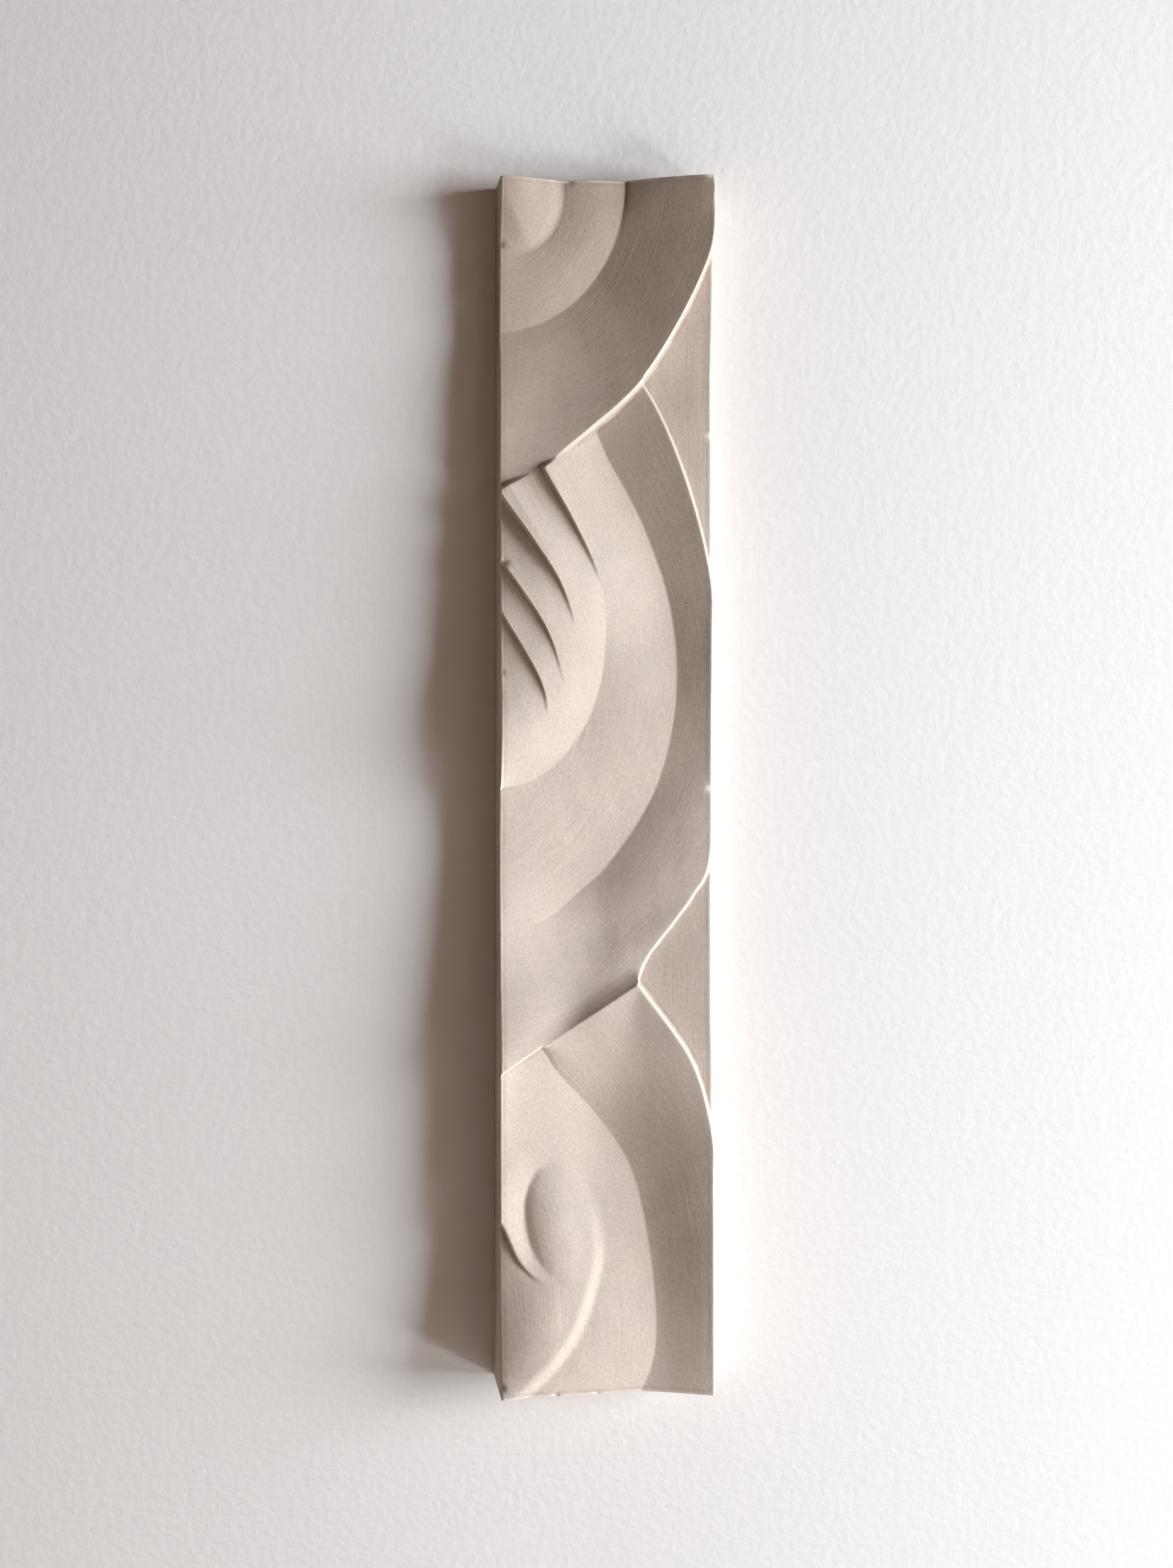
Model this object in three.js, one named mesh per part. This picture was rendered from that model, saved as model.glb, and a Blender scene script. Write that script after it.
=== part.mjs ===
// A wall relief panel: one tall cast slab, flat behind, with three overlapping fans carved on its front.
// X runs across, Z runs up, and the carving faces -Y. The origin is the middle of the flat back.
import * as THREE from 'three'

const WIDTH = 100
const HEIGHT = 570

// The ground is the low flat surface that shows between the fans. It leans out towards the bottom.
const GROUND_TOP = 11.4
const GROUND_BOTTOM = 19.3

// How far the carving stands over the ground, as the rises below are drawn: 16 of their units.
const RELIEF = 16

// A wall between two levels leans back by a share of its own height, and more where a fan climbs
// to a higher one beside it than where it falls from its own rim.
const WALL_FOOT = 1
const WALL_LEAN = 0.17
const WALL_BANK = 0.3

// Spacing of the mesh points along a carved line, over the open surfaces and along the four edges.
const LINE_PITCH = 2.6
const FIELD_PITCH = 4.5
const EDGE_PITCH = 4

// The carving is drawn in hundredths of the width, in 570 equal parts of the height and in
// sixteenths of the relief.
const across = WIDTH / 100
const down = HEIGHT / 570
const lift = RELIEF / 16

const clamp = (x) => Math.min(Math.max(x, 0), 1)
const mix = (from, to, share) => from + (to - from) * share
const ease = (x) => clamp(x) ** 2 * (3 - 2 * clamp(x))

// A carved line is a smooth curve through a few points, each [across, down, rise over the ground].
// It runs on past the panel's edges, and its pieces are short enough to measure from.
function line(points) {
  const places = points.map(([a, v, rise = 0]) => new THREE.Vector3(a * across, v * down, rise * lift))
  const curve = new THREE.CatmullRomCurve3(places, false, 'catmullrom', 0.5)
  return curve.getPoints((points.length - 1) * 10)
}

// How a place lies to a line. Off is its distance, positive on the right of the way the line runs,
// along goes from 0 at the line's start to 1 at its end, and rise is the line's own rise nearby.
const NEARBY = 4
function measure(points, a, v) {
  let nearest = Infinity
  let side = 1
  let along = 0
  let weights = 0
  let rises = 0
  for (let i = 0; i < points.length - 1; i++) {
    const from = points[i]
    const runA = points[i + 1].x - from.x
    const runV = points[i + 1].y - from.y
    const length = Math.hypot(runA, runV)
    const share = clamp(((a - from.x) * runA + (v - from.y) * runV) / length ** 2)
    const gap = Math.hypot(a - from.x - share * runA, v - from.y - share * runV)
    if (gap < nearest) {
      nearest = gap
      side = runA * (v - from.y) - runV * (a - from.x) < 0 ? -1 : 1
      along = (i + share) / (points.length - 1)
    }
    const middle = (a - from.x - runA / 2) ** 2 + (v - from.y - runV / 2) ** 2 + NEARBY ** 2
    const weight = length / middle ** 2
    weights += weight
    rises += weight * (from.z + points[i + 1].z) / 2
  }
  return { off: nearest * side, along, rise: rises / weights }
}

// Two lines that meet at a corner, measured as one outline with the corner eased.
function together(one, other) {
  const nearOne = 1 / (one.off ** 2 + NEARBY ** 2) ** 2
  const nearOther = 1 / (other.off ** 2 + NEARBY ** 2) ** 2
  const off = (Math.abs(one.off) ** -4 + Math.abs(other.off) ** -4) ** -0.25
  const rise = (one.rise * nearOne + other.rise * nearOther) / (nearOne + nearOther)
  return { off, rise }
}

// The way from one line to another as a share, and the surface stretched straight between them.
const way = (from, to) => Math.abs(from.off) / (Math.abs(from.off) + Math.abs(to.off) + 1e-9)
const stretch = (from, to) => mix(from.rise, to.rise, way(from, to))
const swell = (share) => Math.sin(Math.PI * share)

// The top fan: a boss in the corner, a ring round it, and a broad cove that climbs to the rim.
const BOSS_EDGE = line([
  [31.8, -12, 3], [31.5, 11, 3], [25, 28, 3.6], [12.5, 35.6, 4.4], [3, 34.5, 5], [-8, 29, 5],
])
const RING_FOOT_WIDTH = 62.3
const RING_FOOT_HEIGHT = 72.6
const TOP_RIM = line([
  [101.2, 8, 14.8], [97.4, 41, 14.4], [67.2, 96.6, 14.4], [28.7, 130.5, 8.4], [1.1, 145.8, 5.2],
  [-14, 153.8, 4.2],
])

// The foot of the ring is a quarter of an ellipse round the top left corner.
function ringFoot() {
  const points = []
  for (let degrees = -12; degrees <= 104; degrees += 14.5) {
    const turn = THREE.MathUtils.degToRad(degrees)
    const a = RING_FOOT_WIDTH / across * Math.cos(turn) - 2
    const v = RING_FOOT_HEIGHT / down * Math.sin(turn)
    points.push([a, v, 1.3 + 2.1 * clamp(Math.sin(turn)) ** 3])
  }
  return line(points)
}
const RING_FOOT = ringFoot()

function onBoss(boss, a, v) {
  const topEdge = ease(1 - v / (14 * down)) * ease((a / across - 6) / 16)
  const crown = 11 - 0.0082 * (a / across) ** 2 - 0.0045 * (v / down) ** 2 - 1.4 * topEdge
  const roll = mix(7, 26, ease(1 - a / (16 * across))) * across
  return mix(boss.rise, crown * lift, 1 - (1 - clamp(boss.off / roll)) ** 2)
}

function topFan(a, v) {
  const boss = measure(BOSS_EDGE, a, v)
  const foot = measure(RING_FOOT, a, v)
  if (boss.off > 0) {
    return onBoss(boss, a, v)
  }
  if (foot.off > 0) {
    return stretch(boss, foot) + 1.2 * lift * swell(way(boss, foot))
  }
  const rim = measure(TOP_RIM, a, v)
  const full = clamp(swell(way(foot, rim)))
  const bulge = 0.9 * ease(1 - a / (35 * across)) * full
  const brow = 2.2 * ease(1 - v / (30 * down)) * full ** 0.5
  return stretch(foot, rim) + (bulge + brow) * lift
}

// The middle fan: a heart of four blades that melt into a palm, a broad band round it, and an
// outer band that climbs to the rim. Its seam with the bottom fan has a rise for each of them.
const MIDDLE_RIM = line([
  [62, 88, 7.5], [74.9, 109.5, 8.6], [85.8, 135.1, 8.6], [96, 169, 8.2], [101.2, 200, 7.4],
  [103.5, 245, 6], [102.5, 290, 4.2], [99.2, 323.6, 4.4], [92, 337.9, 4], [83.1, 350.6, 3.6],
  [70.8, 367.2, 3], [66.1, 378.5, 3],
])
const SEAM = [
  [66.1, 378.5, 3, 6.8], [48.1, 390.3, 4.6, 7.4], [38, 397, 5, 7.3], [29.2, 402.7, 6.2, 7.2],
  [0, 421.8, 12, 9.4], [-14, 431, 13.4, 9.2],
]
const SEAM_ABOVE = line(SEAM.map(([a, v, above]) => [a, v, above]))
const SEAM_BELOW = line(SEAM.map(([a, v, above, below]) => [a, v, below]))
const SEAM_BANK = 9
const MIDDLE_CREASE = line([
  [44, 108, 1], [49.5, 126, -0.6], [69, 164, -0.3], [81.8, 204, -0.2], [84.2, 246, -0.4],
  [75, 287, -1.3], [54.2, 321.3, -2.2], [38, 337, -2.2], [20.9, 350, 1.2], [-14, 360, 11],
])
const MIDDLE_HEART = line([
  [12, 120, 10], [33.1, 158.9, 9.4], [47, 191.5, 8], [49.8, 214, 5.8], [47, 241.5, 3.2],
  [36.5, 264.8, 2.6], [17, 283, 4.4], [-14, 291, 8.6],
])
const MIDDLE_EDGE = line([
  [0, 130, 8], [0, 182, 9.4], [0, 206, 10], [0, 240, 11.2], [0, 262, 13.2], [0, 291, 9.4],
  [0, 305, 8.6],
])

// Each blade stands over the next one on its left, and its edge fades out towards the palm.
// Near and far are how far it tapers off on its own side and how far the next one lies hollow.
const BLADES = [
  { edge: [[10, 118], [21, 138.4], [33.8, 160.8], [42.8, 179], [47.8, 192]], step: 4.4, start: 0.5 },
  { edge: [[-9, 136], [0.7, 149.7], [16.9, 173.3], [28.2, 191.9], [35.8, 213]], step: 7, start: 0.5 },
  { edge: [[-8, 168], [1.2, 181.5], [17, 204.9], [24.2, 219.2], [30.5, 239]], step: 3.5, start: 0.15 },
  { edge: [[-7, 193], [0.9, 205.2], [15.3, 230], [20.4, 242], [22.6, 254]], step: 3.4, start: 0.15 },
].map((blade) => ({ ...blade, edge: line(blade.edge) }))
const BLADE_NEAR = 14
const BLADE_FAR = 18
const BLADE_WALL = 1.2
const BLADE_FALL = 7

function blades(a, v) {
  let rise = 0
  for (const { edge, step, start } of BLADES) {
    const { off, along } = measure(edge, a, v)
    const height = step * lift * clamp(swell(mix(start, 1, along))) ** 0.7 * (1 - along ** 3)
    const own = 0.25 * clamp(1 - Math.abs(off) / BLADE_NEAR) ** 2
    const next = -0.75 * clamp(1 - (Math.abs(off) / BLADE_FAR) ** 1.5)
    const fall = 0.6 * clamp(off / BLADE_WALL) + 0.4 * (1 - (1 - clamp(off / BLADE_FALL)) ** 3)
    rise += height * mix(own, next, fall)
  }
  return rise
}

// Where the bottom fan stands over the middle one, the middle one banks up to the seam.
function seamBank(a, v) {
  const above = measure(SEAM_ABOVE, a, v)
  const below = measure(SEAM_BELOW, a, v)
  return Math.max(below.rise - above.rise, 0) * clamp(1 - Math.max(above.off, 0) / SEAM_BANK) ** 2
}

function middleFan(a, v) {
  const crease = measure(MIDDLE_CREASE, a, v)
  const heart = measure(MIDDLE_HEART, a, v)
  if (crease.off < 0) {
    const outline = together(measure(MIDDLE_RIM, a, v), measure(SEAM_ABOVE, a, v))
    const straight = way(crease, outline)
    const climb = mix(straight, straight ** 2.4, ease((v / down - 330) / 30))
    const lower = ease((v / down - 270) / 40) * ease((a / across - 40) / 20)
    const bulge = 3 * ease(1 - a / (40 * across)) + 1.2 * lower
    return mix(crease.rise, outline.rise, climb) + bulge * lift * swell(climb) + seamBank(a, v) + blades(a, v)
  }
  if (heart.off < 0) {
    return stretch(heart, crease) + 0.3 * lift * swell(way(heart, crease)) + blades(a, v)
  }
  const edge = measure(MIDDLE_EDGE, a, v)
  const full = ease((285 - v / down) / 60) * ease((v / down - 140) / 50)
  return stretch(edge, heart) + 4.2 * lift * full * swell(way(edge, heart)) + blades(a, v)
}

// The bottom fan: a body that falls from the left edge to a crease, with an eye, a crescent over
// a hollow and a long crest worked into it, and an outer band that climbs to the rim.
const BOTTOM_RIM = line([
  [66.1, 378.5, 6.8], [82.1, 400.3, 9], [90.4, 413.7, 9.2], [96.8, 432.1, 9], [101.2, 458, 8.4],
  [103, 500, 9], [103, 580, 9.2],
])
const BOTTOM_CREASE = line([
  [17, 402, 7.6], [27, 420, 2.4], [48.3, 443.5, -4.6], [63.9, 468.5, -4.6], [71.6, 504, -2],
  [74.2, 540, 1.2], [70.6, 561.6, 2.6], [60, 580, 3.6],
])
const BOTTOM_EDGE = line([
  [0, 405, 9.2], [0, 435, 8.4], [0, 480, 8.8], [0, 520, 11], [0, 550, 12.6], [0, 580, 15.2],
])
const CREST = line([
  [30, 455], [45.5, 480.2], [50.2, 504.3], [46.8, 521], [39.4, 540.7], [27.6, 557.2], [12.3, 571], [2, 580],
])
const CREST_ROLL = 7
const CREST_TAIL = 30
const EYE = line([[34, 461], [19.3, 465.9], [13.3, 476.4], [12.2, 488], [15, 502], [20.9, 511.7], [34, 523]])
const EYE_BANK = 12.5
const EYE_FLANK = 4.5
const CRESCENT = line([[-8, 478], [1.1, 492.5], [9.4, 509.3], [21.8, 519.2], [34, 520], [46, 512]])
const CRESCENT_WALL = 1.6
const CRESCENT_FADE = 22

function crest(a, v) {
  const { off, along } = measure(CREST, a, v)
  const gap = Math.abs(off)
  const valley = -0.3 * clamp(1 - gap / (CREST_ROLL * (off > 0 ? 0.7 : 1.7))) ** 2
  const roll = 1.8 * ease(gap / CREST_ROLL) * (1 - ease((gap - 2 * CREST_ROLL) / CREST_TAIL))
  return ease(along / 0.45) * (valley + (off > 0 ? roll : 0)) * lift
}

function eye(a, v) {
  const { off, along } = measure(EYE, a, v)
  const bank = clamp(1 - off / EYE_BANK) ** 1.5
  const valley = off > 0 ? bank : Math.exp(off / EYE_FLANK)
  const dome = ((a / across - 27) / 13) ** 2 + ((v / down - 492) / 24) ** 2
  return (1.8 * Math.exp(-dome) - 3 * Math.abs(swell(along)) ** 1.5 * valley) * lift
}

function hollow(a, v) {
  const { off, along } = measure(CRESCENT, a, v)
  const run = CRESCENT_WALL + CRESCENT_FADE * ease((along - 0.45) / 0.5)
  const bank = clamp(1 - a / (27 * across)) ** 2
  return -4.8 * lift * ease(0.5 + off / run) * bank * (1 - ease((v / down - 555) / 20))
}

function bottomFan(a, v) {
  const crease = measure(BOTTOM_CREASE, a, v)
  if (crease.off < 0) {
    const outline = together(measure(BOTTOM_RIM, a, v), measure(SEAM_BELOW, a, v))
    const climb = way(crease, outline)
    return mix(crease.rise, outline.rise, mix(climb, ease(climb), 0.3))
  }
  const edge = measure(BOTTOM_EDGE, a, v)
  const belly = mix(-0.8, 1.6, ease((v / down - 470) / 100)) * lift * swell(way(edge, crease))
  return stretch(edge, crease) + belly + crest(a, v) + eye(a, v) + hollow(a, v)
}

// The two plain corners of the slab outside the fans, each falling a little from the right edge.
function apron(a, v) {
  const upper = mix(8, 4.2, ease((v / down - 50) / 50))
  const lower = mix(2, 4.4, ease((v / down - 385) / 35)) - 0.1 * (100 - a / across)
  return mix(upper, lower, ease((v / down - 200) / 100)) * lift
}

// Where a place lies: positive inside each fan, and the fans overlap from the top one down.
function insideFans(a, v) {
  const seam = measure(SEAM_ABOVE, a, v).off
  return {
    top: measure(TOP_RIM, a, v).off,
    middle: Math.min(measure(MIDDLE_RIM, a, v).off, seam),
    bottom: Math.min(measure(BOTTOM_RIM, a, v).off, -seam),
  }
}

function wallRun(inner, outer) {
  return WALL_FOOT + WALL_LEAN * Math.max(inner - outer, 0) + WALL_BANK * Math.max(outer - inner, 0)
}
const wall = (inner, outer, off) => mix(outer, inner, clamp(0.35 + off / wallRun(inner, outer)))

// The depth of the carved front over the flat back.
function depthAt(a, v) {
  const { top, middle } = insideFans(a, v)
  const lower = wall(bottomFan(a, v), apron(a, v), measure(BOTTOM_RIM, a, v).off)
  const upper = wall(middleFan(a, v), lower, middle)
  return mix(GROUND_TOP, GROUND_BOTTOM, v / HEIGHT) + wall(topFan(a, v), upper, top)
}

// The mesh points. A point too close to an earlier one is left out, so the sharp lines come first.
const front = []
function place(a, v, room) {
  if (a < 0 || a > WIDTH || v < 0 || v > HEIGHT) {
    return
  }
  if (front.every((other) => Math.hypot(other.a - a, other.v - v) > room)) {
    front.push({ a, v })
  }
}

// Points along a line, moved sideways by a distance that may change along it.
function follow(points, sideways, wanted, room) {
  let walked = LINE_PITCH
  for (let i = 0; i < points.length - 1; i++) {
    const runA = points[i + 1].x - points[i].x
    const runV = points[i + 1].y - points[i].y
    const length = Math.hypot(runA, runV)
    for (let reached = 0; reached < length; reached += 0.25) {
      walked += 0.25
      const a = points[i].x + runA * reached / length
      const v = points[i].y + runV * reached / length
      if (walked >= LINE_PITCH && wanted(a, v)) {
        const shift = sideways(a, v)
        place(a - runV / length * shift, v + runA / length * shift, room)
        walked = 0
      }
    }
  }
}

const CREASE_ROOM = 1.4
const WALL_ROOM = 0.7
const FIELD_ROOM = 2.1

function placeCorners() {
  for (const a of [0, WIDTH]) {
    for (const v of [0, HEIGHT]) {
      place(a, v, WALL_ROOM)
    }
  }
}

// Where a line crosses the left, right, top or bottom edge, the crossing is a mesh point. So is
// each place on the edge that lies off the line by one of the shifts.
function placeCrossings(points, shifts) {
  for (let i = 0; i < points.length - 1; i++) {
    const from = points[i]
    const to = points[i + 1]
    const runA = to.x - from.x
    const runV = to.y - from.y
    const length = Math.hypot(runA, runV)
    for (const a of [0, WIDTH]) {
      const share = (a - from.x) / runA
      if (share >= 0 && share < 1) {
        const v = mix(from.y, to.y, share)
        shifts.forEach((shift) => place(a, v + shift(a, v) * length / runA, WALL_ROOM))
      }
    }
    for (const v of [0, HEIGHT]) {
      const share = (v - from.y) / runV
      if (share >= 0 && share < 1) {
        const a = mix(from.x, to.x, share)
        shifts.forEach((shift) => place(a - shift(a, v) * length / runV, v, WALL_ROOM))
      }
    }
  }
}

// A wall's two edges: its top inside the fan, and its foot outside.
function wallEdges(inner, outer) {
  const run = (a, v) => wallRun(inner(a, v), outer(a, v))
  return [(a, v) => 0.65 * run(a, v), (a, v) => -0.35 * run(a, v)]
}

function placeWalls() {
  const clearOfTop = (a, v) => insideFans(a, v).top < 0
  const walls = [
    { points: TOP_RIM, shifts: wallEdges(topFan, middleOrApron), wanted: () => true },
    { points: MIDDLE_RIM, shifts: wallEdges(middleFan, apron), wanted: clearOfTop },
    { points: SEAM_ABOVE, shifts: wallEdges(middleFan, bottomFan), wanted: () => true },
    { points: BOTTOM_RIM, shifts: wallEdges(bottomFan, apron), wanted: () => true },
  ]
  for (const { edge } of BLADES) {
    walls.push({ points: edge, shifts: [() => 0, () => BLADE_WALL], wanted: clearOfTop })
  }
  const crescentEdges = [() => -CRESCENT_WALL / 2, () => CRESCENT_WALL / 2]
  walls.push({ points: CRESCENT, shifts: crescentEdges, wanted: (a) => a < 30 * across })
  for (const { points, shifts, wanted } of walls) {
    placeCrossings(points, shifts)
    shifts.forEach((shift) => follow(points, shift, wanted, WALL_ROOM))
  }
}

function middleOrApron(a, v) {
  return measure(MIDDLE_RIM, a, v).off > 0 ? middleFan(a, v) : apron(a, v)
}

function placeCreases() {
  const owned = {
    top: [BOSS_EDGE, RING_FOOT],
    middle: [MIDDLE_CREASE, MIDDLE_HEART],
    bottom: [BOTTOM_CREASE, CREST, EYE],
  }
  for (const [fan, lines] of Object.entries(owned)) {
    for (const points of lines) {
      const wanted = (a, v) => insideFans(a, v)[fan] > 1.5 && (fan === 'top' || insideFans(a, v).top < -1.5)
      placeCrossings(points, [() => 0])
      follow(points, () => 0, wanted, CREASE_ROOM)
    }
  }
  for (const { edge } of BLADES) {
    follow(edge, () => BLADE_FALL / 2, (a, v) => insideFans(a, v).top < -1.5, CREASE_ROOM)
  }
  for (const share of [0.3, 0.65]) {
    follow(SEAM_ABOVE, () => share * SEAM_BANK, (a) => a > 25 * across && a < 62 * across, CREASE_ROOM)
  }
}

function placeField() {
  for (let v = EDGE_PITCH; v < HEIGHT - 1; v += EDGE_PITCH) {
    place(0, v, EDGE_PITCH / 2)
    place(WIDTH, v, EDGE_PITCH / 2)
  }
  for (let a = EDGE_PITCH; a < WIDTH - 1; a += EDGE_PITCH) {
    place(a, 0, EDGE_PITCH / 2)
    place(a, HEIGHT, EDGE_PITCH / 2)
  }
  const rows = Math.floor(HEIGHT / (FIELD_PITCH * 0.87))
  const columns = Math.floor(WIDTH / FIELD_PITCH)
  for (let row = 1; row < rows; row++) {
    for (let column = 0; column < columns; column++) {
      const sway = 0.2 * Math.sin(13 * column + 7 * row)
      const a = (column + (row % 2 ? 0.75 : 0.25)) * WIDTH / columns + sway
      const v = row * HEIGHT / rows + sway / 2
      if (a > FIELD_ROOM && a < WIDTH - FIELD_ROOM) {
        place(a, v, FIELD_ROOM)
      }
    }
  }
}

// Joins the points into triangles, so that no point lies inside another triangle's circle.
function triangulate(points) {
  const cross = (p, q, r) => (q.a - p.a) * (r.v - p.v) - (q.v - p.v) * (r.a - p.a)
  const circled = (p, q, r) => {
    const twice = 2 * cross(p, q, r)
    const qa = q.a - p.a
    const qv = q.v - p.v
    const ra = r.a - p.a
    const rv = r.v - p.v
    const ca = (rv * (qa ** 2 + qv ** 2) - qv * (ra ** 2 + rv ** 2)) / twice
    const cv = (qa * (ra ** 2 + rv ** 2) - ra * (qa ** 2 + qv ** 2)) / twice
    return { corners: [p, q, r], a: p.a + ca, v: p.v + cv, square: ca ** 2 + cv ** 2 }
  }
  const [topLeft, bottomLeft, topRight, bottomRight] = points
  let triangles = [circled(topLeft, topRight, bottomRight), circled(topLeft, bottomRight, bottomLeft)]
  for (const point of points.slice(4)) {
    const kept = []
    const rim = new Map()
    for (const triangle of triangles) {
      if ((point.a - triangle.a) ** 2 + (point.v - triangle.v) ** 2 >= triangle.square) {
        kept.push(triangle)
        continue
      }
      triangle.corners.forEach((from, i) => {
        const to = triangle.corners[(i + 1) % 3]
        const back = `${to.index} ${from.index}`
        if (!rim.delete(back)) {
          rim.set(`${from.index} ${to.index}`, [from, to])
        }
      })
    }
    for (const [from, to] of rim.values()) {
      if (Math.abs(cross(from, to, point)) > 1e-9) {
        kept.push(circled(from, to, point))
      }
    }
    triangles = kept
  }
  return triangles.map(({ corners }) => corners)
}

// The closed solid: the carved front, four plain sides and the flat back.
function solid() {
  placeCorners()
  placeWalls()
  placeCreases()
  placeField()
  front.forEach((point, index) => {
    point.index = index
  })
  const toSpace = (a, v, depth) => [a - WIDTH / 2, -depth, HEIGHT / 2 - v]
  const positions = front.flatMap(({ a, v }) => toSpace(a, v, depthAt(a, v)))
  const index = triangulate(front).flatMap(([p, q, r]) => [p.index, r.index, q.index])
  const turn = ({ a, v }) => Math.atan2((v / HEIGHT) - 0.5, (a / WIDTH) - 0.5)
  const onEdge = ({ a, v }) => a === 0 || a === WIDTH || v === 0 || v === HEIGHT
  const ring = front.filter(onEdge).sort((p, q) => turn(p) - turn(q))
  const backStart = front.length
  ring.forEach(({ a, v }) => positions.push(...toSpace(a, v, 0)))
  const middle = backStart + ring.length
  positions.push(...toSpace(WIDTH / 2, HEIGHT / 2, 0))
  ring.forEach((point, i) => {
    const next = (i + 1) % ring.length
    index.push(point.index, ring[next].index, backStart + i)
    index.push(ring[next].index, backStart + next, backStart + i)
    index.push(backStart + i, backStart + next, middle)
  })
  const geometry = new THREE.BufferGeometry()
  geometry.setAttribute('position', new THREE.Float32BufferAttribute(positions, 3))
  geometry.setIndex(index)
  geometry.computeVertexNormals()
  return geometry
}

const plaster = new THREE.MeshStandardMaterial({ color: 0xcbbcaa, roughness: 0.92, metalness: 0 })
const panel = new THREE.Mesh(solid(), plaster)
panel.name = 'relief_panel'

const group = new THREE.Group()
group.add(panel)
export default group
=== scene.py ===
import math

import bpy
import numpy as np
from mathutils import Matrix, Vector
from mathutils.geometry import delaunay_2d_cdt


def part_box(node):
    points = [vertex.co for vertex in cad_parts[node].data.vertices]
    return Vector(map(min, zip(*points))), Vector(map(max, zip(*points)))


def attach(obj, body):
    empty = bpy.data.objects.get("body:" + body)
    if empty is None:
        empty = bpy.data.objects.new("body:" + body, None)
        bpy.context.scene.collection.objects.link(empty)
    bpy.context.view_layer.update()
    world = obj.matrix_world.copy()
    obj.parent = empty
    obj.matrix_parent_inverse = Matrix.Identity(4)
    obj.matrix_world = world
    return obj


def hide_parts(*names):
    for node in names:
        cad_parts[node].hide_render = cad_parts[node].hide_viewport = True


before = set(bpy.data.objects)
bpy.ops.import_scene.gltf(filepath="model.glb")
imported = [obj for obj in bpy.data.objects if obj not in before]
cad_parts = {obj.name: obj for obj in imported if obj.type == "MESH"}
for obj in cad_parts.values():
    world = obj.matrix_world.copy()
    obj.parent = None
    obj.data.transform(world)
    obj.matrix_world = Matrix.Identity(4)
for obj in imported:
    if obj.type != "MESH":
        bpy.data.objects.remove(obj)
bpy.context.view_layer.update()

# The wall relief panel: one tall slab of fine plaster, cast face up in an open mould, so that its back is
# flat and its front carries three overlapping fans. The surface was rubbed smooth while damp, and its
# arrises wore round in handling. It is worked out in millimetres, across from the left and down from the top.
low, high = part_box("relief_panel")
WIDTH = (high.x - low.x) * 1000
HEIGHT = (high.z - low.z) * 1000
DRAWN_WIDTH = 100
DRAWN_HEIGHT = 570
across = WIDTH / DRAWN_WIDTH
down = HEIGHT / DRAWN_HEIGHT
SHORT_PIECES = 10


def clamp(x):
    return np.clip(x, 0, 1)


def mix(start, end, share):
    return start + (end - start) * share


def ease(x):
    return clamp(x) ** 2 * (3 - 2 * clamp(x))


def line(points):
    """A smooth curve, in short pieces, through places given as (across, down, rise over the ground)."""
    places = np.array([(*point, 0)[:3] for point in points], float) * (across, down, 1)
    padded = np.vstack([places[:1], places, places[-1:]])
    curve = []
    for a, b, c, d in zip(padded, padded[1:], padded[2:], padded[3:]):
        for t in np.arange(SHORT_PIECES) / SHORT_PIECES:
            m, n = (c - a) / 2, (d - b) / 2
            curve.append((2 * b - 2 * c + m + n) * t**3 + (3 * c - 3 * b - 2 * m - n) * t**2 + m * t + b)
    return np.array([*curve, places[-1]])


NEARBY = 4


def measure(curve, a, v):
    """How places lie to a line: distance, positive on its right, share along it, and its rise nearby."""
    nearest = np.full(a.shape, np.inf)
    side = np.ones(a.shape)
    along = np.zeros(a.shape)
    weights = np.zeros(a.shape)
    rises = np.zeros(a.shape)
    for i, (start, end) in enumerate(zip(curve, curve[1:])):
        run_a, run_v = end[:2] - start[:2]
        length = math.hypot(run_a, run_v)
        from_a, from_v = a - start[0], v - start[1]
        share = clamp((from_a * run_a + from_v * run_v) / length**2)
        gap = np.hypot(from_a - share * run_a, from_v - share * run_v)
        closer = gap < nearest
        nearest = np.where(closer, gap, nearest)
        side = np.where(closer, np.where(run_a * from_v - run_v * from_a < 0, -1, 1), side)
        along = np.where(closer, (i + share) / (len(curve) - 1), along)
        middle = (from_a - run_a / 2) ** 2 + (from_v - run_v / 2) ** 2 + NEARBY**2
        weight = length / middle**2
        weights += weight
        rises += weight * (start[2] + end[2]) / 2
    return nearest * side, along, rises / weights


def together(one, other):
    """Two lines that meet at a corner, measured as one outline with the corner eased."""
    near_one = 1 / (one[0] ** 2 + NEARBY**2) ** 2
    near_other = 1 / (other[0] ** 2 + NEARBY**2) ** 2
    off = ((np.abs(one[0]) + 1e-6) ** -4.0 + (np.abs(other[0]) + 1e-6) ** -4.0) ** -0.25
    return off, None, (one[2] * near_one + other[2] * near_other) / (near_one + near_other)


def way(start, end):
    return np.abs(start[0]) / (np.abs(start[0]) + np.abs(end[0]) + 1e-9)


def stretch(start, end):
    return mix(start[2], end[2], way(start, end))


def swell(share):
    return np.sin(math.pi * share)


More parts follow.
